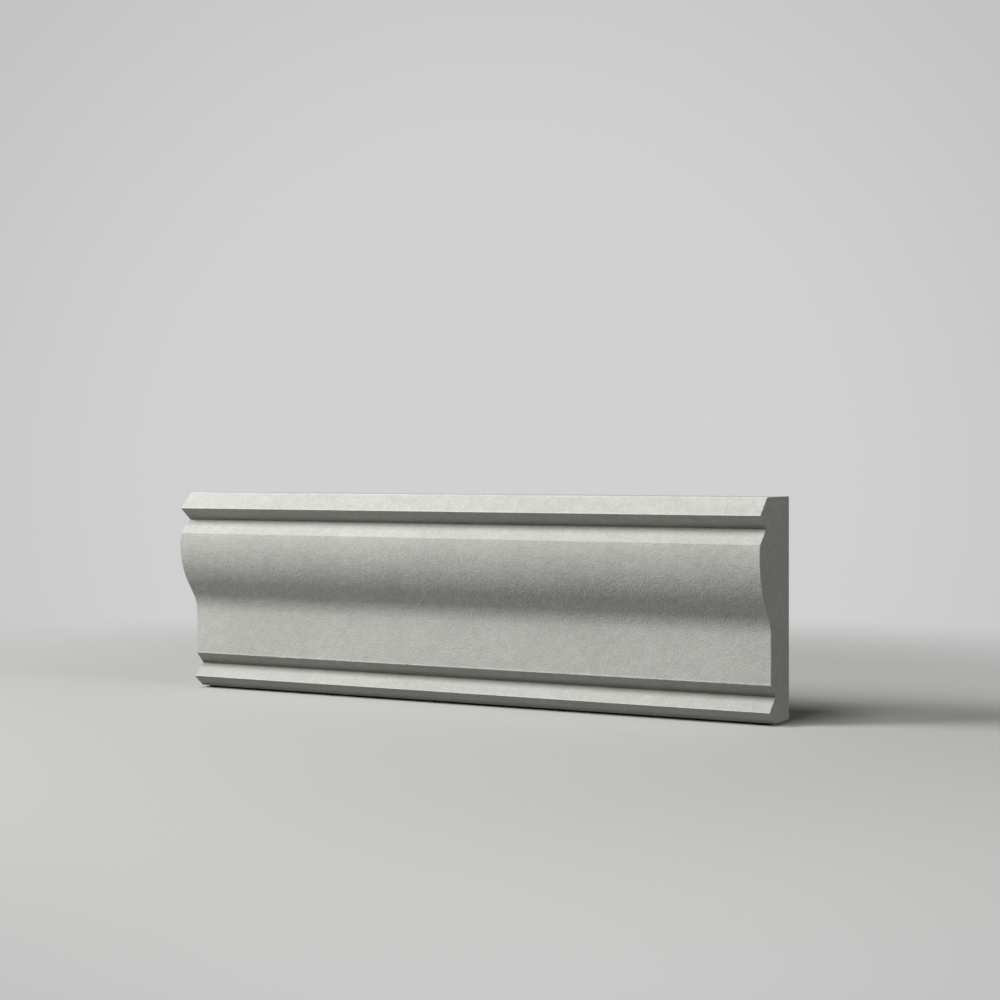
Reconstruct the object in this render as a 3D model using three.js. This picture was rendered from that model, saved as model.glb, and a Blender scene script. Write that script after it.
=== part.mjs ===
// Crown moulding: one loose length, cast in fine pale concrete and cut square at both ends.
//
// Millimetres, +Z up. X runs along the length, the moulded face looks towards -Y and the flat back
// towards +Y. The piece stands on its narrow underside. The origin is the middle of the bottom of the
// box around it.
//
// The section is drawn with two measures: "out" is the distance forward of the flat back, and "up" is
// the height above the underside.

import * as THREE from 'three';

// Driving sizes.
const LENGTH = 341;
const HEIGHT = 110;

// The corners of the section, from the underside upwards.
const UNDERSIDE_FRONT = { out: 18.3, up: 0 };
const LOWER_NOSE = { out: 26.8, up: 6.9 };
const LOWER_GROOVE = { out: 18.9, up: 13.7 };
const FLAT_FOOT = { out: 25, up: 19.8 };
const UPPER_GROOVE = { out: 31.1, up: 94.9 };
const UPPER_NOSE = { out: 39.4, up: 101.3 };
const TOP_FRONT = { out: 30.1, up: HEIGHT };

// The ogee: a cove rises out of the flat, leans forward and turns over into a roll, which ends in a
// sharp arris under the upper chamfer.
const ROLL_RADIUS = 39;
const ROLL_CROWN = { out: 40.1, up: 82.3 };
const ARRIS_UP = 87.6;
const COVE_RADIUS = 16;
const OGEE_LEAN = THREE.MathUtils.degToRad(36);

// The cast arrises are a little soft, and the chords of the ogee are this long at most.
const ARRIS_EASE = 0.5;
const EASE_STEPS = 2;
const CHORD = 2.2;

const concrete = new THREE.MeshStandardMaterial({
  name: 'cast_concrete',
  color: 0xc3c4bd,
  roughness: 0.92,
  metalness: 0,
});

// Points of a circular arc in the section. Angles are measured from straight out towards up.
function arc(centre, radius, from, to) {
  const steps = Math.ceil((Math.abs(to - from) * radius) / CHORD);
  const points = [];
  for (let i = 0; i <= steps; i += 1) {
    const angle = from + ((to - from) * i) / steps;
    points.push({
      out: centre.out + radius * Math.cos(angle),
      up: centre.up + radius * Math.sin(angle),
    });
  }
  return points;
}

// The ogee from the top of the flat to the arris. A straight slope touches the cove and the roll, so
// the height at which the cove starts follows from the two radii and the lean.
function ogee() {
  const rollCentre = { out: ROLL_CROWN.out - ROLL_RADIUS, up: ROLL_CROWN.up };
  const arrisAngle = Math.asin((ARRIS_UP - ROLL_CROWN.up) / ROLL_RADIUS);
  const roll = arc(rollCentre, ROLL_RADIUS, -OGEE_LEAN, arrisAngle);

  const coveCentreOut = FLAT_FOOT.out + COVE_RADIUS;
  const slopeOut = roll[0].out - (coveCentreOut - COVE_RADIUS * Math.cos(OGEE_LEAN));
  const coveHeadUp = roll[0].up - slopeOut / Math.tan(OGEE_LEAN);
  const coveCentre = { out: coveCentreOut, up: coveHeadUp - COVE_RADIUS * Math.sin(OGEE_LEAN) };
  const cove = arc(coveCentre, COVE_RADIUS, Math.PI, Math.PI - OGEE_LEAN);

  return { curve: [...cove, ...roll.slice(0, -1)], arris: roll[roll.length - 1] };
}

// Replaces a corner of the section with a short tangent arc.
function easedCorner(before, corner, after, radius) {
  const at = new THREE.Vector2(corner.out, corner.up);
  const back = new THREE.Vector2(before.out, before.up).sub(at).normalize();
  const on = new THREE.Vector2(after.out, after.up).sub(at).normalize();
  const half = Math.acos(THREE.MathUtils.clamp(back.dot(on), -1, 1)) / 2;
  const centre = at.clone().add(back.clone().add(on).normalize().multiplyScalar(radius / Math.sin(half)));
  const start = at.clone().addScaledVector(back, radius / Math.tan(half)).sub(centre);
  const end = at.clone().addScaledVector(on, radius / Math.tan(half)).sub(centre);
  const turn = Math.atan2(start.cross(end), start.dot(end));
  const points = [];
  for (let i = 0; i <= EASE_STEPS; i += 1) {
    const spoke = start.clone().rotateAround(new THREE.Vector2(), (turn * i) / EASE_STEPS);
    points.push({ out: centre.x + spoke.x, up: centre.y + spoke.y });
  }
  return points;
}

// The closed section, anticlockwise when "out" points right and "up" points up.
function sectionPoints() {
  const { curve, arris } = ogee();
  const backFoot = { out: 0, up: 0 };
  const backHead = { out: 0, up: HEIGHT };
  const lastOfCurve = curve[curve.length - 1];
  const ease = (before, corner, after) => easedCorner(before, corner, after, ARRIS_EASE);
  return [
    ...ease(backHead, backFoot, UNDERSIDE_FRONT),
    ...ease(backFoot, UNDERSIDE_FRONT, LOWER_NOSE),
    ...ease(UNDERSIDE_FRONT, LOWER_NOSE, LOWER_GROOVE),
    LOWER_GROOVE,
    ...ease(LOWER_GROOVE, FLAT_FOOT, curve[0]),
    ...curve,
    ...ease(lastOfCurve, arris, UPPER_GROOVE),
    UPPER_GROOVE,
    ...ease(UPPER_GROOVE, UPPER_NOSE, TOP_FRONT),
    ...ease(UPPER_NOSE, TOP_FRONT, backHead),
    ...ease(TOP_FRONT, backHead, backFoot),
  ];
}

// The section swept along the length, with "out" turned to -Y and "up" to +Z.
function mouldingGeometry() {
  const shape = new THREE.Shape(sectionPoints().map((point) => new THREE.Vector2(point.out, point.up)));
  const geometry = new THREE.ExtrudeGeometry(shape, { depth: LENGTH, steps: 1, bevelEnabled: false });
  geometry.translate(-ROLL_CROWN.out / 2, 0, -LENGTH / 2);
  geometry.applyMatrix4(new THREE.Matrix4().makeBasis(
    new THREE.Vector3(0, -1, 0),
    new THREE.Vector3(0, 0, 1),
    new THREE.Vector3(-1, 0, 0),
  ));
  return geometry;
}

const moulding = new THREE.Mesh(mouldingGeometry(), concrete);
moulding.name = 'crown_moulding';

const part = new THREE.Group();
part.add(moulding);

export default part;
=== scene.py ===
"""Crown moulding: one loose length of fine cast concrete, on a pale studio floor.

The section is worked out from its named corners, swept along the length and roughened by a Geometry
Nodes tree, and finished with a procedural concrete.
"""

import math

import bmesh
import bpy
from bpy.props import FloatProperty, FloatVectorProperty, IntProperty, PointerProperty
from mathutils import Matrix, Vector


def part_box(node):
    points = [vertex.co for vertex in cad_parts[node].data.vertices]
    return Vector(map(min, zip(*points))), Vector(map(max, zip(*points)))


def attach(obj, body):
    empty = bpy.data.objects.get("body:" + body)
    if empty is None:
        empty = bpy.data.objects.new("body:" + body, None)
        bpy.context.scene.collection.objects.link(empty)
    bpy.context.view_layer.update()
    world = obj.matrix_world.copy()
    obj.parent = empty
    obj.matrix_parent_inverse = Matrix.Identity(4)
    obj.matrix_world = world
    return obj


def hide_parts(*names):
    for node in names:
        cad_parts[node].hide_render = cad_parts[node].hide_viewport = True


bl_info = {
    "name": "Crown Moulding",
    "version": (1, 0, 0),
    "blender": (4, 5, 0),
    "location": "3D View > Sidebar > Moulding",
    "description": "Builds a loose length of cast concrete crown moulding on a studio floor",
    "category": "Object",
}

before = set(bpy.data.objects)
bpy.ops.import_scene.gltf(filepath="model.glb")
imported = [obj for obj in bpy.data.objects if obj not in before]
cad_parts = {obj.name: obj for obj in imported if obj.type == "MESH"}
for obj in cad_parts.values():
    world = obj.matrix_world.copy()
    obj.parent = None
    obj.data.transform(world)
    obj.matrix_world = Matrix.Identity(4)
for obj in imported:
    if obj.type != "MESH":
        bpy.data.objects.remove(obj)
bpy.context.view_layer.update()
NODE = "crown_moulding"
LOW, HIGH = (Vector(end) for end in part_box(NODE))
HEIGHT = HIGH.z - LOW.z
MM = 0.001

# Faces of the section: the small slanted ones, and those that look down, which are in shade and get no
# painted highlight or wear along their arrises.
SPLAYED = ("bevel", "chamfer", "bead", "underside", "soffit")
SHADED_FACES = ("underside", "soffit", "heel")
# How strong the painted shade is on a face beside a groove or the foot, and all over it.
SHADE_STRENGTH = {"underside": (1.0, 0.0), "soffit": (0.5, 0.0), "bead": (0.55, 0.22), "chamfer": (0.0, 0.04)}


def linear(hex_colour):
    """Turns an sRGB hex colour into the linear red, green and blue that the shaders use."""
    parts = [int(hex_colour[i:i + 2], 16) / 255 for i in (0, 2, 4)]
    return [part / 12.92 if part <= 0.04045 else ((part + 0.055) / 1.055) ** 2.4 for part in parts]


def corner(name, out, up, description):
    """A property for a corner of the section, given in millimetres."""
    return FloatVectorProperty(
        name=name, description=description, size=2, default=(out * MM, up * MM), unit="LENGTH", precision=4)


def size(name, millimetres, description):
    """A property for a length, given in millimetres."""
    return FloatProperty(
        name=name, description=description, default=millimetres * MM, min=0.0, unit="LENGTH", precision=5)


def angle(name, degrees, description):
    """A property for an angle, given in degrees."""
    return FloatProperty(
        name=name, description=description, default=math.radians(degrees), subtype="ANGLE")


def colour(name, hex_colour, description):
    """A property for a colour, given as sRGB hex."""
    return FloatVectorProperty(
        name=name, description=description, subtype="COLOR", size=3, min=0.0, max=1.0,
        default=linear(hex_colour))


class SectionSizes(bpy.types.PropertyGroup):
    """The section: how far each corner is out from the flat back and up from the underside."""

    underside_front: corner("Underside front", 18.3, 0.0, "Front edge of the face that the length stands on")
    lower_nose: corner("Lower nose", 26.8, 6.9, "Foremost edge of the bottom bead")
    lower_groove: corner("Lower groove", 18.9, 13.7, "Bottom of the lower V groove")
    flat_foot: corner("Flat foot", 25.0, 19.8, "Lower edge of the plain flat")
    upper_groove: corner("Upper groove", 31.1, 94.9, "Bottom of the upper V groove")
    upper_nose: corner("Upper nose", 39.4, 101.3, "Foremost edge under the splayed top")
    top_front: corner("Top front", 30.1, HEIGHT / MM, "Front edge of the top face")
    roll_crown: corner("Roll crown", 40.1, 82.3, "Foremost point of the roll")
    roll_radius: size("Roll radius", 39.0, "Radius of the convex part of the ogee")
    arris_up: size("Arris height", 87.6, "Height of the sharp arris between the roll and the chamfer")
    cove_radius: size("Cove radius", 16.0, "Radius of the hollow part of the ogee")
    ogee_lean: angle("Ogee lean", 36.0, "Lean of the straight slope between the roll and the cove")


class CastSurface(bpy.types.PropertyGroup):
    """How finely the length is meshed, and how far its surface departs from the drawn section."""

    arris_ease: size("Arris ease", 0.22, "Radius of the arrises along the length")
    groove_ease: size("Groove ease", 0.25, "Radius at the bottom of the grooves")
    end_ease: size("End ease", 0.13, "Radius of the arrises around the two cut ends")
    heel_rise: size("Heel rise", 1.1, "How far the edges of the underside stand off the floor")
    heel_reach: size("Heel reach", 3.2, "How far in from its edges the underside stands off the floor")
    hold: size("Holding row", 0.15, "Width of the first row beside an arris, which keeps the flats flat")
    face_step: size("Face step", 0.95, "Spacing of the rows on the moulded face")
    back_step: size("Back step", 2.5, "Spacing of the rows on the back, top and underside")
    ring_step: size("Ring step", 1.05, "Spacing of the rings along the length")
    # The nicks, and the painted highlight with wear, reach this far from an arris.
    wear_and_sheen_reach: size("Wear reach", 1.6, "How far from an arris its wear reaches")
    # The painted shade beside the grooves and the foot: its full-strength width and its reach.
    shade_core: size("Film core", 0.5, "How far out of the grooves the darker film is at its full strength")
    shade_reach: size("Film reach", 4.2, "How far out of the grooves the darker film reaches")
    sway: size("Sway", 0.045, "Height of the broad unevenness left by the mould")
    sway_width: size("Sway width", 38.0, "Width of the broad unevenness")
    ripple: size("Ripple", 0.016, "Height of the fine unevenness of the cast skin")
    ripple_width: size("Ripple width", 5.0, "Width of the fine unevenness")
    nick: size("Nick", 0.25, "Depth of the small nicks worn into the arrises")
    nick_width: size("Nick width", 5.5, "Length of the small nicks")
    chip: size("Chip", 1.0, "Depth of the broken corner at the foot of the right end")
    chip_reach: size("Chip reach", 2.8, "How far the broken corner reaches")
    seed: IntProperty(name="Seed", description="Picks the pattern of unevenness and nicks", default=7)


class ConcreteLook(bpy.types.PropertyGroup):
    """Colours of the cast concrete, and of the shade and highlight painted on it."""

    paste: colour("Paste", "adada8", "Main colour of the cement paste")
    bloom: colour("Bloom", "b0b0ab", "Paler clouds of lime on the surface")
    damp: colour("Damp", "aaaaa5", "Greyer clouds where the paste is denser")
    sand: colour("Sand", "8e8e87", "Dark grains of sand that show through the skin")
    quartz: colour("Quartz", "cdcdc8", "Pale grains of sand that show through the skin")
    # Painted shade inside the small air holes.
    hole: colour("Hole", "5c5c56", "Inside of the small air holes")
    # Colour of the painted shade in the grooves, on the undersides and over the bead.
    film: colour("Film", "7a7a74", "Darker film in the grooves and on the undersides")
    # Painted highlight with some wear: paler concrete along the arrises.
    rubbed: colour("Rubbed arris", "cecec8", "Paler concrete along the arrises")
    # Painted near-black shade in the narrow gap under the edges of the foot.
    gap: colour("Gap", "141412", "Inside of the narrow gap under the edges of the foot")


class StageLook(bpy.types.PropertyGroup):
    """The floor, the lights and the camera."""

    floor: colour("Floor", "adadaa", "Colour of the floor")
    backdrop: colour("Backdrop", "d1d1d1", "Brightness of the pool of light behind the length")
    pool_middle: FloatVectorProperty(
        name="Pool middle", description="Direction of the middle of the pool of light",
        default=(-0.4748, 0.8801, -0.008), precision=4)
    pool_core: FloatProperty(name="Pool core", description="Width of its even middle", default=0.13)
    pool_reach: FloatProperty(name="Pool reach", description="Width of the whole pool", default=0.44)
    pool_edge: FloatProperty(name="Pool edge", description="Brightness outside the pool", default=0.82)
    fade_start: size("Fade start", 250.0, "Distance at which the floor starts to pass into the backdrop")
    fade_end: size("Fade end", 650.0, "Distance at which the floor has passed into the backdrop")
    low_glow: FloatProperty(
        name="Low glow", description="Strength of the faint light from underneath",
        default=0.67, min=0.0)
    lamp_distance: size("Lamp distance", 2400.0, "Distance of the three lamps from the length")
    lamp_size: size("Lamp size", 840.0, "Side of the three square lamps")
    key: FloatProperty(name="Key", description="Power of the main lamp in watts", default=74.0, min=0.0)
    key_height: angle("Key height", 32.0, "Angle of the main lamp above the floor")
    key_side: angle("Key side", 50.0, "Angle of the main lamp to the left of the moulded face")
    top: FloatProperty(name="Top", description="Power of the high lamp in watts", default=32.0, min=0.0)
    top_height: angle("Top height", 60.0, "Angle of the high lamp above the floor")
    top_side: angle("Top side", 10.0, "Angle of the high lamp to the left of the moulded face")
    fill: FloatProperty(name="Fill", description="Power of the side lamp in watts", default=12.5, min=0.0)
    fill_height: angle("Fill height", 25.0, "Angle of the side lamp above the floor")
    fill_side: angle("Fill side", -80.0, "Angle of the side lamp, which stands to the right")
    camera_place: FloatVectorProperty(
        name="Camera place", description="Where the camera stands", default=(0.4843, -0.8594, 0.1251),
        unit="LENGTH", precision=4)
    camera_turn: angle("Camera turn", 28.34, "How far the camera looks to the left of straight at the face")
    lens: FloatProperty(name="Lens", description="Focal length in millimetres", default=67.97)
    lens_shift: FloatProperty(
        name="Lens shift", description="Upright shift of the lens, in picture widths", default=-0.0346)


def arc(centre, radius, start, end, step):
    """Points of a circular arc in the section, with angles from straight out towards up."""
    count = max(2, math.ceil(abs(end - start) * radius / step))
    turns = [start + (end - start) * i / count for i in range(count + 1)]
    return [centre + radius * Vector((math.cos(turn), math.sin(turn))) for turn in turns]


def straight(start, end, step, hold=0.0):
    """Even points from start to end, with a narrow first and last row where hold is given."""
    span = (end - start).length
    hold = min(hold, span / 3)
    count = max(1, math.ceil((span - 2 * hold) / step))
    marks = [hold + (span - 2 * hold) * i / count for i in range(count + 1)]
    if hold:
        marks = [0.0, *marks, span]
    along = (end - start).normalized()
    return [start + along * mark for mark in marks]


def eased(before, at, after, radius, steps=3):
    """A corner of the section turned into a short tangent arc."""
    back = (before - at).normalized()
    on = (after - at).normalized()
    half = math.acos(max(-1.0, min(1.0, back.dot(on)))) / 2
    centre = at + (back + on).normalized() * (radius / math.sin(half))
    reach = radius / math.tan(half)
    first = at + back * reach - centre
    last = at + on * reach - centre
    turn = math.atan2(first.x * last.y - first.y * last.x, first.dot(last))
    return [centre + Matrix.Rotation(turn * i / steps, 2) @ first for i in range(steps + 1)]


def ogee(sizes, step):
    """The curve from the top of the flat to the arris: a cove, a straight slope and a roll."""
    crown = Vector(sizes.roll_crown)
    lean = sizes.ogee_lean
    roll_centre = crown - Vector((sizes.roll_radius, 0.0))
    arris = math.asin((sizes.arris_up - crown.y) / sizes.roll_radius)
    roll = arc(roll_centre, sizes.roll_radius, -lean, arris, step)
    cove_out = sizes.flat_foot[0] + sizes.cove_radius
    slope_out = roll[0].x - (cove_out - sizes.cove_radius * math.cos(lean))
    cove_head = roll[0].y - slope_out / math.tan(lean)
    cove_centre = Vector((cove_out, cove_head - sizes.cove_radius * math.sin(lean)))
    cove = arc(cove_centre, sizes.cove_radius, math.pi, math.pi - lean, step)
    return cove + straight(cove[-1], roll[0], step)[1:-1] + roll


def section_loop(sizes, cast):
    """The closed section, anticlockwise, as (out, up) points with the name of the face each is on.

    Also gives the arrises, with how much paler each is painted as highlight and wear, and the corners beside
    which shade is painted.
    """
    curve = ogee(sizes, cast.face_step)
    arris = curve[-1]
    curve = curve[:-1]
    back_foot, back_head = Vector((0.0, 0.0)), Vector((0.0, HEIGHT))
    under, nose, groove, foot, high_groove, high_nose, top = (Vector(getattr(sizes, name)) for name in (
        "underside_front", "lower_nose", "lower_groove", "flat_foot", "upper_groove", "upper_nose",
        "top_front"))
    under = under.lerp(nose, cast.heel_rise / nose.y)
    heel = under - Vector((cast.heel_reach, 0.0))
    stops = [
        (back_foot, cast.arris_ease, "sole"), (Vector((heel.x, 0.0)), cast.arris_ease, "heel"),
        (heel, cast.groove_ease, "heel"), (under, cast.arris_ease, "underside"),
        (nose, cast.arris_ease, "bead"), (groove, cast.groove_ease, "underside"),
        (foot, cast.arris_ease, "flat"), (arris, cast.arris_ease, "chamfer"),
        (high_groove, cast.groove_ease, "soffit"), (high_nose, cast.arris_ease, "bevel"),
        (top, cast.arris_ease, "top"),
        (back_head, cast.arris_ease, "back"),
    ]
    bends = []
    for i, (at, ease, _) in enumerate(stops):
        before = curve[-1] if at is arris else stops[i - 1][0]
        after = curve[0] if at is foot else stops[(i + 1) % len(stops)][0]
        bends.append(eased(before, at, after, ease))

    loop = []
    for i, (bend, (at, _, face)) in enumerate(zip(bends, stops)):
        following = bends[(i + 1) % len(bends)]
        if at is foot:
            rest = straight(bend[-1], curve[0], cast.face_step, cast.hold)[1:-2] + curve
        else:
            step = cast.back_step if face in ("sole", "top", "back") else cast.face_step
            rest = straight(bend[-1], following[0], step, cast.hold)[1:-1]
        loop += [(point, face) for point in bend + rest]
    # Arrises, with how much paler each is painted, as highlight and wear.
    worn = [
        (under, 0.0), (nose, 0.9), (foot, 1.4), (arris, 0.2), (high_nose, 1.2), (top, 1.2),
        (back_head, 1.0), (back_foot, 1.0)]
    shaded_corners = (under, groove, high_groove)
    return loop, worn, shaded_corners


def section_mesh(sizes, cast):
    """The section as a loop of edges, with what the sweep and the concrete need to know of each point.

    It is drawn flat, and turned half round, because the sweep along X turns it back.
    """
    loop, worn, shaded_corners = section_loop(sizes, cast)
    count = len(loop)
    mesh = bpy.data.meshes.new(NODE + "_section")
    places = [(point.x - HIGH.y, -point.y - LOW.z, 0.0) for point, _ in loop]
    mesh.from_pydata(places, [(i, (i + 1) % count) for i in range(count)], [])
    outward, arris, rubbed, film = [], [], [], []
    for i, (point, face) in enumerate(loop):
        along = (loop[(i + 1) % count][0] - loop[i - 1][0]).normalized()
        outward += [0.0, -along.y, -along.x]
        # The paler line along the arrises is a painted highlight as well as wear.
        near = [(max(0.0, 1.0 - (point - at).length / cast.wear_and_sheen_reach), paler) for at, paler in worn]
        arris.append(max(share for share, _ in near))
        rubbed.append(0.0 if face in SHADED_FACES else max(share * paler for share, paler in near))
        # The painted shade: darker near the grooves and the foot, and a little all over some faces.
        nearest = min((point - at).length for at in shaded_corners)
        share = (cast.shade_reach - nearest) / (cast.shade_reach - cast.shade_core)
        beside, all_over = SHADE_STRENGTH.get(face, (0.0, 0.0))
        film.append(max(0.0, min(1.0, share)) * beside + all_over)
    mesh.attributes.new("outward", "FLOAT_VECTOR", "POINT").data.foreach_set("vector", outward)
    for name, values in (
            ("arris", arris), ("rubbed", rubbed), ("film", film),
            ("sole", [float(face == "sole") for _, face in loop]),
            # The heel faces are painted near-black as shade in the gap.
            ("gap", [float(face == "heel") for _, face in loop]),
            ("splay", [float(face in SPLAYED) for _, face in loop]),
            ("struck", [float(face == "back") for _, face in loop])):
        mesh.attributes.new(name, "FLOAT", "POINT").data.foreach_set("value", values)
    return mesh


def add(tree, kind, inputs=None, **settings):
    """Adds a node, sets its options, and fills its inputs with values or links by name or number."""
    made = tree.nodes.new(kind)
    for name, value in settings.items():
        setattr(made, name, value)
    for key, value in (inputs or {}).items():
        socket = made.inputs[key]
        if isinstance(value, bpy.types.NodeSocket):
            tree.links.new(value, socket)
        else:
            socket.default_value = value
    return made


def math_node(tree, operation, *values):
    """The output of a Math node."""
    return add(tree, "ShaderNodeMath", dict(enumerate(values)), operation=operation).outputs[0]


def vector_math(tree, operation, *values):
    """The output of a Vector Math node with a vector result."""
    return add(tree, "ShaderNodeVectorMath", dict(enumerate(values)), operation=operation).outputs[0]


def named(tree, name, kind="FLOAT"):
    """The output of a Named Attribute node."""
    return add(tree, "GeometryNodeInputNamedAttribute", {"Name": name}, data_type=kind).outputs[0]


def noise(tree, place, width, seed, detail=2.0):
    """Noise about zero, from about -0.5 to 0.5, whose lumps are about width across."""
    texture = add(tree, "ShaderNodeTexNoise", {
        "Vector": place, "W": seed, "Scale": math_node(tree, "DIVIDE", 1.0, width), "Detail": detail,
    }, noise_dimensions="4D")
    return math_node(tree, "SUBTRACT", texture.outputs[0], 0.5)


SWEEP_INPUTS = (
    ("Length", "NodeSocketFloat"),
    ("Rings", "NodeSocketInt"),
    ("End Ease", "NodeSocketFloat"),
    ("Heel Rise", "NodeSocketFloat"),
    ("Heel Reach", "NodeSocketFloat"),
    ("Sway", "NodeSocketFloat"),
    ("Sway Width", "NodeSocketFloat"),
    ("Ripple", "NodeSocketFloat"),
    ("Ripple Width", "NodeSocketFloat"),
    ("Nick", "NodeSocketFloat"),
    ("Nick Width", "NodeSocketFloat"),
    ("Chip", "NodeSocketFloat"),
    ("Chip Reach", "NodeSocketFloat"),
    ("Chip Place", "NodeSocketVector"),
    ("Seed", "NodeSocketInt"),
    ("Concrete", "NodeSocketMaterial"),
)
# How many of the last rings crowd towards each end, and how strongly.
END_ROWS = 5.0
END_CROWDING = 2.5
# A face whose normal points this much along the length is a cut end.
END_FACING = 0.99
# How many times rougher the back is than the moulded face.
BACK_ROUGHNESS = 2.5
# An arris is nicked where the noise is above the start, and the slope makes the nicks this steep.
NICK_START = 0.1
NICK_SLOPE = 4.0
# A point lifted by less than this, in metres, counts as not lifted.
NO_LIFT = 0.000001


def from_end(tree, given):
    """How far each point is from the nearer end of the length."""
    place = add(tree, "GeometryNodeInputPosition").outputs[0]
    x = add(tree, "ShaderNodeSeparateXYZ", {0: place}).outputs[0]
    half = math_node(tree, "MULTIPLY", given["Length"], 0.5)
    reach = math_node(tree, "MAXIMUM", math_node(tree, "SUBTRACT", half, math_node(tree, "ABSOLUTE", x)), 0.0)
    return x, half, reach


def fades(tree, distance, reach):
    """One at no distance, falling evenly to nought at the reach."""
    share = math_node(tree, "SUBTRACT", 1.0, math_node(tree, "DIVIDE", distance, reach))
    return math_node(tree, "MAXIMUM", share, 0.0)


def end_rounding(tree, given):
    """How far each point moves so that the last rings crowd towards the ends and round them over."""
    x, half, reach = from_end(tree, given)
    zone = math_node(tree, "DIVIDE", math_node(tree, "MULTIPLY", given["Length"], END_ROWS), given["Rings"])
    share = math_node(tree, "MINIMUM", math_node(tree, "DIVIDE", reach, zone), 1.0)
    beyond = math_node(tree, "MAXIMUM", math_node(tree, "SUBTRACT", reach, zone), 0.0)
    crowded = math_node(tree, "MULTIPLY_ADD", zone, math_node(tree, "POWER", share, END_CROWDING), beyond)
    new_x = math_node(
        tree, "MULTIPLY", math_node(tree, "SIGN", x), math_node(tree, "SUBTRACT", half, crowded))
    ease = given["End Ease"]
    lack = math_node(tree, "MAXIMUM", math_node(tree, "SUBTRACT", ease, crowded), 0.0)
    squares = math_node(
        tree, "SUBTRACT", math_node(tree, "MULTIPLY", ease, ease), math_node(tree, "MULTIPLY", lack, lack))
    inset = math_node(tree, "SUBTRACT", ease, math_node(tree, "SQRT", squares))
    along = add(tree, "ShaderNodeCombineXYZ", {0: math_node(tree, "SUBTRACT", new_x, x)}).outputs[0]
    inwards = add(tree, "ShaderNodeVectorMath", {
        0: named(tree, "outward", "FLOAT_VECTOR"), "Scale": math_node(tree, "MULTIPLY", inset, -1.0),
    }, operation="SCALE").outputs[0]
    return vector_math(tree, "ADD", along, inwards)


def at_ends(tree, given):
    """One close to the ends of the length, falling to nought a little way in."""
    fading = fades(tree, from_end(tree, given)[2], given["Heel Reach"])
    return math_node(tree, "MINIMUM", math_node(tree, "MULTIPLY", fading, 2.0), 1.0)


def relief(tree, given):
    """How far each point stands out of the drawn section: sway, ripple, worn nicks, and the gap under the
    foot at the ends, where every point lower than the gap is lifted to it."""
    place = add(tree, "GeometryNodeInputPosition").outputs[0]
    near_end = at_ends(tree, given)

    def uneven(name):
        lumps = noise(tree, place, given[name + " Width"], given["Seed"])
        return math_node(tree, "MULTIPLY", lumps, given[name])

    # The noise reaches half its span either way, so it is doubled. The sole stays flat.
    lumps = math_node(tree, "MULTIPLY", math_node(tree, "ADD", uneven("Sway"), uneven("Ripple")), 2.0)
    rough = math_node(
        tree, "MULTIPLY_ADD", named(tree, "struck"), BACK_ROUGHNESS - 1.0,
        math_node(tree, "SUBTRACT", 1.0, named(tree, "sole")))

    chance = noise(tree, place, given["Nick Width"], given["Seed"], 1.0)
    worn = math_node(tree, "MAXIMUM", math_node(tree, "SUBTRACT", chance, NICK_START), 0.0)
    deep = math_node(tree, "MULTIPLY", worn, NICK_SLOPE)
    kept = math_node(tree, "MULTIPLY", named(tree, "arris"), math_node(tree, "SUBTRACT", 1.0, near_end))
    nicks = math_node(tree, "MULTIPLY", math_node(tree, "MULTIPLY", deep, kept), given["Nick"])
    height = math_node(tree, "SUBTRACT", math_node(tree, "MULTIPLY", lumps, rough), nicks)

    up = add(tree, "ShaderNodeSeparateXYZ", {0: place}).outputs[2]
    gap = math_node(tree, "MULTIPLY", near_end, given["Heel Rise"])
    lift = math_node(tree, "MAXIMUM", math_node(tree, "SUBTRACT", gap, up), 0.0)
    clear = math_node(tree, "LESS_THAN", lift, NO_LIFT)
    stands = add(tree, "ShaderNodeVectorMath", {
        0: named(tree, "outward", "FLOAT_VECTOR"), "Scale": math_node(tree, "MULTIPLY", height, clear),
    }, operation="SCALE").outputs[0]
    return vector_math(tree, "ADD", stands, add(tree, "ShaderNodeCombineXYZ", {2: lift}).outputs[0])


def broken_corner(tree, given):
    """How far each point near the broken corner moves up and back, in the plane of the end."""
    place = add(tree, "GeometryNodeInputPosition").outputs[0]
    away = add(tree, "ShaderNodeVectorMath", {0: place, 1: given["Chip Place"]}, operation="DISTANCE")
    near = fades(tree, away.outputs["Value"], given["Chip Reach"])
    return add(tree, "ShaderNodeVectorMath", {
        0: (0.0, 0.7, 0.7), "Scale": math_node(tree, "MULTIPLY", near, given["Chip"]),
    }, operation="SCALE").outputs[0]


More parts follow.
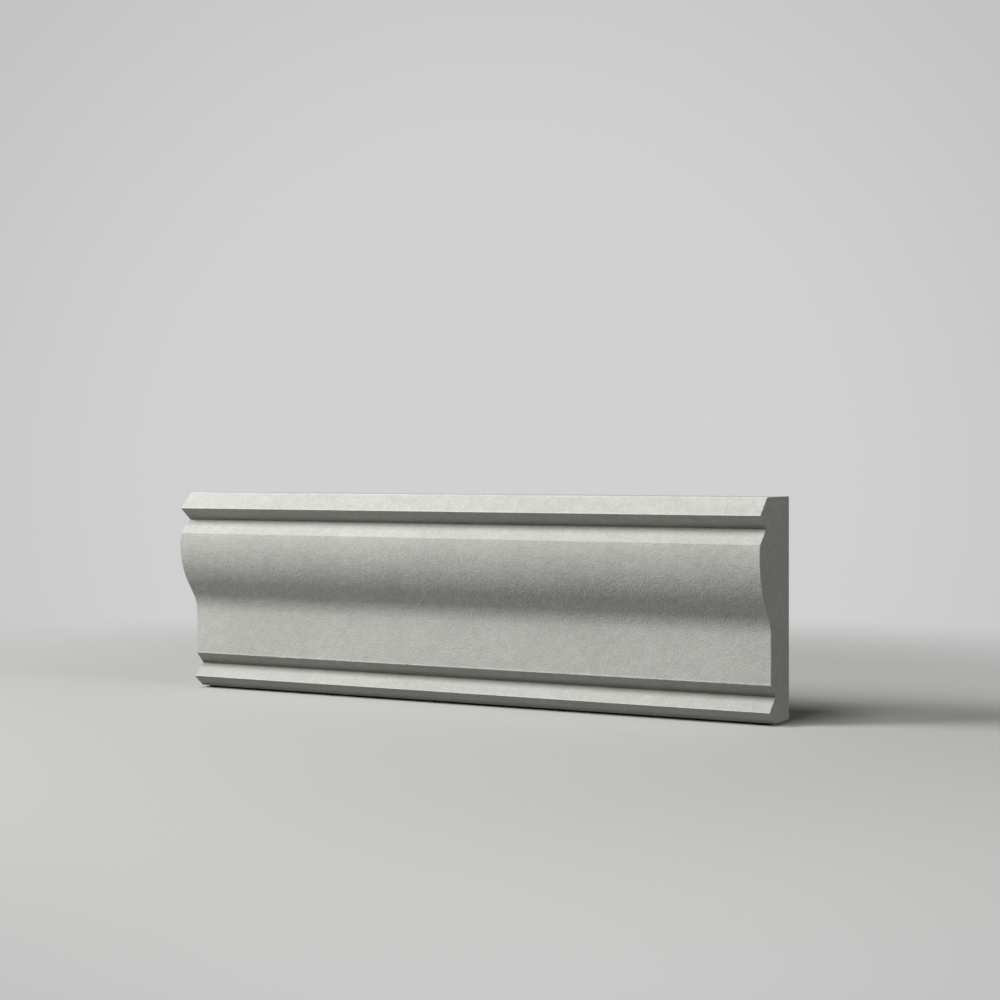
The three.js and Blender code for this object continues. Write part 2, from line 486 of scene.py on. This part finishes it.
def sweep_tree():
    """The Geometry Nodes tree that sweeps the section along the length and roughens the result."""
    tree = bpy.data.node_groups.new("Cast moulding length", "GeometryNodeTree")
    tree.interface.new_socket(name="Section", in_out="INPUT", socket_type="NodeSocketGeometry")
    for name, kind in SWEEP_INPUTS:
        tree.interface.new_socket(name=name, in_out="INPUT", socket_type=kind)
    tree.interface.new_socket(name="Length of moulding", in_out="OUTPUT", socket_type="NodeSocketGeometry")
    given = add(tree, "NodeGroupInput").outputs

    end = add(tree, "ShaderNodeCombineXYZ", {0: math_node(tree, "MULTIPLY", given["Length"], 0.5)})
    start = add(tree, "ShaderNodeCombineXYZ", {0: math_node(tree, "MULTIPLY", given["Length"], -0.5)})
    line = add(tree, "GeometryNodeCurvePrimitiveLine", {"Start": start.outputs[0], "End": end.outputs[0]})
    path = add(tree, "GeometryNodeResampleCurve", {"Curve": line.outputs[0], "Count": given["Rings"]})
    section = add(tree, "GeometryNodeMeshToCurve", {"Mesh": given["Section"]})
    shell = add(tree, "GeometryNodeCurveToMesh", {
        "Curve": path.outputs[0], "Profile Curve": section.outputs[0], "Fill Caps": True})
    for change in (end_rounding, relief, broken_corner):
        shell = add(tree, "GeometryNodeSetPosition", {
            "Geometry": shell.outputs[0], "Offset": change(tree, given)})

    # The raised sole near the ends is painted near-black as well, as shade in the gap.
    raised = math_node(tree, "MULTIPLY", at_ends(tree, given), named(tree, "sole"))
    shell = add(tree, "GeometryNodeStoreNamedAttribute", {
        "Geometry": shell.outputs[0], "Name": "gap",
        "Value": math_node(tree, "MAXIMUM", named(tree, "gap"), raised),
    }, data_type="FLOAT", domain="POINT")
    facing = add(tree, "ShaderNodeSeparateXYZ", {0: add(tree, "GeometryNodeInputNormal").outputs[0]})
    wall = add(tree, "FunctionNodeCompare", {
        "A": math_node(tree, "ABSOLUTE", facing.outputs[0]), "B": END_FACING,
    }, data_type="FLOAT", operation="LESS_THAN")
    marked = add(tree, "GeometryNodeStoreNamedAttribute", {
        "Geometry": shell.outputs[0], "Name": "side", "Value": wall.outputs[0],
    }, data_type="FLOAT", domain="FACE")
    smooth = add(tree, "GeometryNodeSetShadeSmooth", {
        "Geometry": marked.outputs[0], "Shade Smooth": wall.outputs[0]})
    real = add(tree, "GeometryNodeRealizeInstances", {"Geometry": smooth.outputs[0]})
    dressed = add(tree, "GeometryNodeSetMaterial", {
        "Geometry": real.outputs[0], "Material": given["Concrete"]})
    add(tree, "NodeGroupOutput", {0: dressed.outputs[0]})
    return tree


def give_modifier(obj, tree, values):
    """Adds the tree to an object as a modifier, with its inputs set by name."""
    modifier = obj.modifiers.new(tree.name, "NODES")
    modifier.node_group = tree
    names = {item.name: item.identifier for item in tree.interface.items_tree if item.in_out == "INPUT"}
    for name, value in values.items():
        modifier[names[name]] = value


def plain_mesh(obj):
    """Turns an object with modifiers into a plain mesh whose faces point outwards."""
    depsgraph = bpy.context.evaluated_depsgraph_get()
    mesh = bpy.data.meshes.new_from_object(
        obj.evaluated_get(depsgraph), preserve_all_data_layers=True, depsgraph=depsgraph)
    obj.modifiers.clear()
    obj.data = mesh
    shell = bmesh.new()
    shell.from_mesh(mesh)
    bmesh.ops.remove_doubles(shell, verts=shell.verts, dist=0.001 * MM)
    bmesh.ops.recalc_face_normals(shell, faces=shell.faces)
    shell.to_mesh(mesh)
    shell.free()
    mesh.name = obj.name


# Widths of the patterns in the concrete, in millimetres.
CLOUDS, SHADE_PATCHES, HOLE_SPACING, SHEEN_PATCHES, PATCHES, LUMPS, DRAG, GRAINS = 30.0, 14.0, 11.0, 6.0, 5.0, 4.0, 1.5, 1.0
# Depths of its skin, in millimetres.
LUMP_DEPTH, GRAIN_DEPTH, HOLE_DEPTH = 0.18, 0.19, 0.3
# How strongly the grains, the air holes and the dragged lines show.
GRAIN_SHOWS, HOLE_SHOWS, DRAG_SHOWS = 0.44, 0.5, 0.1


def cast_concrete(look):
    """Fine cast concrete: matt pale paste with a sandy skin and small air holes, with painted shade in the
    grooves, holes and gap, and a painted highlight with wear along the arrises.
    """
    material = bpy.data.materials.new("Fine cast concrete")
    material.use_nodes = True
    tree = material.node_tree
    tree.nodes.clear()
    place = add(tree, "ShaderNodeTexCoord").outputs["Object"]

    def texture(width, detail=2.0, roughness=0.5, vector=place):
        return add(tree, "ShaderNodeTexNoise", {
            "Vector": vector, "Scale": 1 / (width * MM), "Detail": detail, "Roughness": roughness,
        }).outputs[0]

    def ramp(value, low, high, to_low=0.0, to_high=1.0):
        return add(tree, "ShaderNodeMapRange", {
            "Value": value, "From Min": low, "From Max": high, "To Min": to_low, "To Max": to_high,
        }).outputs[0]

    def blend(factor, first, second):
        return add(tree, "ShaderNodeMix", {0: factor, 6: first, 7: second}, data_type="RGBA").outputs[2]

    def rgba(value):
        return (*value, 1.0)

    def attribute(name):
        return add(tree, "ShaderNodeAttribute", attribute_name=name).outputs["Fac"]

    # Along the section the attributes hold from end to end, but they mean nothing on the cut ends.
    side = attribute("side")

    def on_sides(name):
        return math_node(tree, "MULTIPLY", attribute(name), side)

    def bump(height, depth, normal=None, **settings):
        inputs = {"Height": height, "Distance": depth * MM}
        if normal is not None:
            inputs["Normal"] = normal
        return add(tree, "ShaderNodeBump", inputs, **settings).outputs[0]

    # Faint clouds a few centimetres across, where the paste is denser or has a bloom of lime.
    clouds = texture(CLOUDS, 3.0, 0.55)
    base = blend(ramp(clouds, 0.35, 0.5), rgba(look.damp), rgba(look.paste))
    base = blend(ramp(clouds, 0.5, 0.68), base, rgba(look.bloom))

    # Sand grains are about half a millimetre, and are drawn at twice that so that they show.
    grain = texture(GRAINS, 2.0, 0.7)
    patches = texture(PATCHES, 2.0, 0.6)
    sandy = math_node(tree, "MULTIPLY_ADD", patches, 0.3, math_node(tree, "MULTIPLY", grain, 0.7))
    base = blend(ramp(sandy, 0.5, 0.3, 0.0, GRAIN_SHOWS), base, rgba(look.sand))
    base = blend(ramp(sandy, 0.5, 0.7, 0.0, GRAIN_SHOWS), base, rgba(look.quartz))

    # A few small air holes, up to a millimetre wide, painted dark inside as shade.
    cells = add(tree, "ShaderNodeTexVoronoi", {"Vector": place, "Scale": 1 / (HOLE_SPACING * MM)})
    chosen = add(tree, "ShaderNodeSeparateColor", {0: cells.outputs["Color"]})
    reach = ramp(chosen.outputs[0], 0.72, 1.0, 0.0, 0.045)
    hole = math_node(tree, "LESS_THAN", cells.outputs["Distance"], reach)
    base = blend(math_node(tree, "MULTIPLY", hole, HOLE_SHOWS), base, rgba(look.hole))

    # The mould drags faint lines along the small splayed faces.
    stretched = add(tree, "ShaderNodeMapping", {"Vector": place, "Scale": (0.03, 1.0, 1.0)}).outputs[0]
    drag = texture(DRAG, 2.0, 0.6, stretched)
    base = blend(
        math_node(tree, "MULTIPLY", ramp(drag, 0.5, 0.75, 0.0, DRAG_SHOWS), on_sides("splay")),
        base, rgba(look.quartz))

    # Painted shade darkens the grooves, the undersides and, a little, the bead and chamfer all over; a
    # painted highlight with some wear makes the arrises paler; and the gap under the foot is painted
    # near-black as shade.
    shade_patchiness = ramp(texture(SHADE_PATCHES, 3.0), 0.3, 0.7, 0.8, 1.0)
    base = blend(math_node(tree, "MULTIPLY", on_sides("film"), shade_patchiness), base, rgba(look.film))
    sheen_and_wear_share = math_node(
        tree, "MULTIPLY", ramp(on_sides("rubbed"), 0.4, 0.9), ramp(texture(SHEEN_PATCHES), 0.3, 0.7, 0.1, 0.55))
    base = blend(sheen_and_wear_share, base, rgba(look.rubbed))
    # Painted near-black shade in the gap under the foot.
    base = blend(on_sides("gap"), base, rgba(look.gap))

    # The skin: soft lumps, the sand grains on them, and the holes. The back is rougher.
    rough = ramp(on_sides("struck"), 0.0, 1.0, 1.0, BACK_ROUGHNESS)
    lumps = bump(math_node(tree, "MULTIPLY", texture(LUMPS), rough), LUMP_DEPTH)
    skin = bump(math_node(tree, "MULTIPLY", grain, rough), GRAIN_DEPTH, lumps)
    shader = add(tree, "ShaderNodeBsdfPrincipled", {
        "Base Color": base, "Roughness": ramp(grain, 0.2, 0.8, 0.86, 0.96),
        "Normal": bump(hole, HOLE_DEPTH, skin, invert=True)})
    add(tree, "ShaderNodeOutputMaterial", {"Surface": shader.outputs[0]})
    return material


class MOULDING_OT_length(bpy.types.Operator):
    """Builds the loose length of crown moulding in place of its plain solid"""

    bl_idname = "moulding.length"
    bl_label = "Build the moulding"

    def execute(self, context):
        sizes, cast = context.scene.section_sizes, context.scene.cast_surface
        piece = bpy.data.objects.new(NODE + "_cast", section_mesh(sizes, cast))
        context.scene.collection.objects.link(piece)
        length = HIGH.x - LOW.x
        give_modifier(piece, sweep_tree(), {
            "Length": length,
            "Rings": round(length / cast.ring_step) + 1,
            "End Ease": cast.end_ease,
            "Heel Rise": cast.heel_rise,
            "Heel Reach": cast.heel_reach,
            "Sway": cast.sway,
            "Sway Width": cast.sway_width,
            "Ripple": cast.ripple,
            "Ripple Width": cast.ripple_width,
            "Nick": cast.nick,
            "Nick Width": cast.nick_width,
            "Chip": cast.chip,
            "Chip Reach": cast.chip_reach,
            "Chip Place": (HIGH.x, HIGH.y - sizes.underside_front[0], LOW.z),
            "Seed": cast.seed,
            "Concrete": cast_concrete(context.scene.concrete_look),
        })
        plain_mesh(piece)
        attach(piece, "root")
        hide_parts(NODE)
        return {"FINISHED"}


def studio_floor(look):
    """A wide plain floor, matt and pale, that fades out towards the backdrop behind the length.

    It neither throws light back nor stops the faint glow from below, which stands for that light.
    """
    reach = 150.0
    mesh = bpy.data.meshes.new("studio_floor")
    mesh.from_pydata(
        [(-reach, -reach, 0.0), (reach, -reach, 0.0), (reach, reach, 0.0), (-reach, reach, 0.0)],
        [], [(0, 1, 2, 3)])
    material = bpy.data.materials.new("Matt floor paint")
    material.use_nodes = True
    tree = material.node_tree
    tree.nodes.clear()
    place = add(tree, "ShaderNodeTexCoord").outputs["Object"]
    away = add(tree, "ShaderNodeVectorMath", {0: place}, operation="LENGTH").outputs["Value"]
    far = add(tree, "ShaderNodeMapRange", {
        "Value": away, "From Min": look.fade_start, "From Max": look.fade_end,
    }, interpolation_type="SMOOTHSTEP")
    paint = add(tree, "ShaderNodeBsdfPrincipled", {"Base Color": (*look.floor, 1.0), "Roughness": 0.9})
    clear = add(tree, "ShaderNodeBsdfTransparent")
    both = add(tree, "ShaderNodeMixShader", {0: far.outputs[0], 1: paint.outputs[0], 2: clear.outputs[0]})
    add(tree, "ShaderNodeOutputMaterial", {"Surface": both.outputs[0]})
    mesh.materials.append(material)
    floor = bpy.data.objects.new("studio_floor", mesh)
    floor.visible_diffuse = False
    floor.visible_shadow = False
    bpy.context.scene.collection.objects.link(floor)


def studio_room(look):
    """What the camera sees behind the length, a backdrop with a broad pool of light on it, and what
    lights the length, a faint glow from underneath."""
    world = bpy.data.worlds.new("Studio room")
    world.use_nodes = True
    tree = world.node_tree
    tree.nodes.clear()
    towards = add(tree, "ShaderNodeTexCoord").outputs["Generated"]
    up = add(tree, "ShaderNodeSeparateXYZ", {0: towards}).outputs[2]
    below = add(tree, "ShaderNodeMapRange", {
        "Value": up, "From Min": -0.9, "From Max": -0.45, "To Min": look.low_glow, "To Max": 0.0,
    }, interpolation_type="SMOOTHSTEP")
    glow = add(tree, "ShaderNodeBackground", {"Strength": below.outputs[0]})
    glow.inputs["Color"].default_value = (1.0, 1.0, 1.0, 1.0)
    aside = add(tree, "ShaderNodeVectorMath", {0: towards, 1: look.pool_middle}, operation="DISTANCE")
    pool = add(tree, "ShaderNodeMapRange", {
        "Value": aside.outputs["Value"], "From Min": look.pool_core, "From Max": look.pool_reach,
        "To Min": 1.0, "To Max": look.pool_edge,
    }, interpolation_type="SMOOTHSTEP")
    backdrop = add(tree, "ShaderNodeBackground", {
        "Color": (*look.backdrop, 1.0), "Strength": pool.outputs[0]})
    seen = add(tree, "ShaderNodeLightPath").outputs["Is Camera Ray"]
    both = add(tree, "ShaderNodeMixShader", {0: seen, 1: glow.outputs[0], 2: backdrop.outputs[0]})
    add(tree, "ShaderNodeOutputWorld", {"Surface": both.outputs[0]})
    bpy.context.scene.world = world


def studio_lamp(look, name):
    """A square soft lamp that looks at the middle of the length."""
    height, side = getattr(look, name + "_height"), getattr(look, name + "_side")
    lamp = bpy.data.lights.new(name, "AREA")
    lamp.shape = "SQUARE"
    lamp.energy = getattr(look, name)
    lamp.size = look.lamp_size
    holder = bpy.data.objects.new(name, lamp)
    flat = math.cos(height)
    towards = Vector((-math.sin(side) * flat, -math.cos(side) * flat, math.sin(height)))
    holder.location = (LOW + HIGH) / 2 + towards * look.lamp_distance
    holder.rotation_euler = towards.to_track_quat("Z", "Y").to_euler()
    holder.visible_camera = False
    bpy.context.scene.collection.objects.link(holder)


def studio_camera(look):
    """A level camera, a little above the length and to the right of it."""
    eye = bpy.data.cameras.new("camera")
    eye.lens = look.lens
    eye.sensor_width = 36.0
    eye.shift_y = look.lens_shift
    camera = bpy.data.objects.new("camera", eye)
    camera.location = look.camera_place
    camera.rotation_euler = (math.radians(90), 0.0, look.camera_turn)
    bpy.context.scene.collection.objects.link(camera)
    bpy.context.scene.camera = camera


class MOULDING_OT_stage(bpy.types.Operator):
    """Lays the floor and sets up the light and the camera"""

    bl_idname = "moulding.stage"
    bl_label = "Set the stage"

    def execute(self, context):
        look = context.scene.stage_look
        studio_floor(look)
        studio_room(look)
        for name in ("key", "top", "fill"):
            studio_lamp(look, name)
        studio_camera(look)
        context.scene.view_settings.view_transform = "Standard"
        return {"FINISHED"}


class MOULDING_PT_sidebar(bpy.types.Panel):
    """Lists the steps and the sizes and colours that they use"""

    bl_idname = "MOULDING_PT_sidebar"
    bl_label = "Crown Moulding"
    bl_space_type = "VIEW_3D"
    bl_region_type = "UI"
    bl_category = "Moulding"

    def draw(self, context):
        layout = self.layout
        for group in GROUPS:
            box = layout.box()
            box.label(text=GROUPS[group].__doc__.split(":")[0].split(".")[0])
            held = getattr(context.scene, group)
            for name in GROUPS[group].__annotations__:
                box.prop(held, name)
        for operator in OPERATORS:
            layout.operator(operator.bl_idname)


GROUPS = {
    "section_sizes": SectionSizes,
    "cast_surface": CastSurface,
    "concrete_look": ConcreteLook,
    "stage_look": StageLook,
}
OPERATORS = (MOULDING_OT_length, MOULDING_OT_stage)


def register():
    for group in GROUPS.values():
        bpy.utils.register_class(group)
    for name, group in GROUPS.items():
        setattr(bpy.types.Scene, name, PointerProperty(type=group))
    for operator in OPERATORS:
        bpy.utils.register_class(operator)
    bpy.utils.register_class(MOULDING_PT_sidebar)


def unregister():
    bpy.utils.unregister_class(MOULDING_PT_sidebar)
    for operator in reversed(OPERATORS):
        bpy.utils.unregister_class(operator)
    for name, group in GROUPS.items():
        delattr(bpy.types.Scene, name)
        bpy.utils.unregister_class(group)


def main():
    register()
    bpy.ops.moulding.length()
    bpy.ops.moulding.stage()


if __name__ == "__main__":
    main()
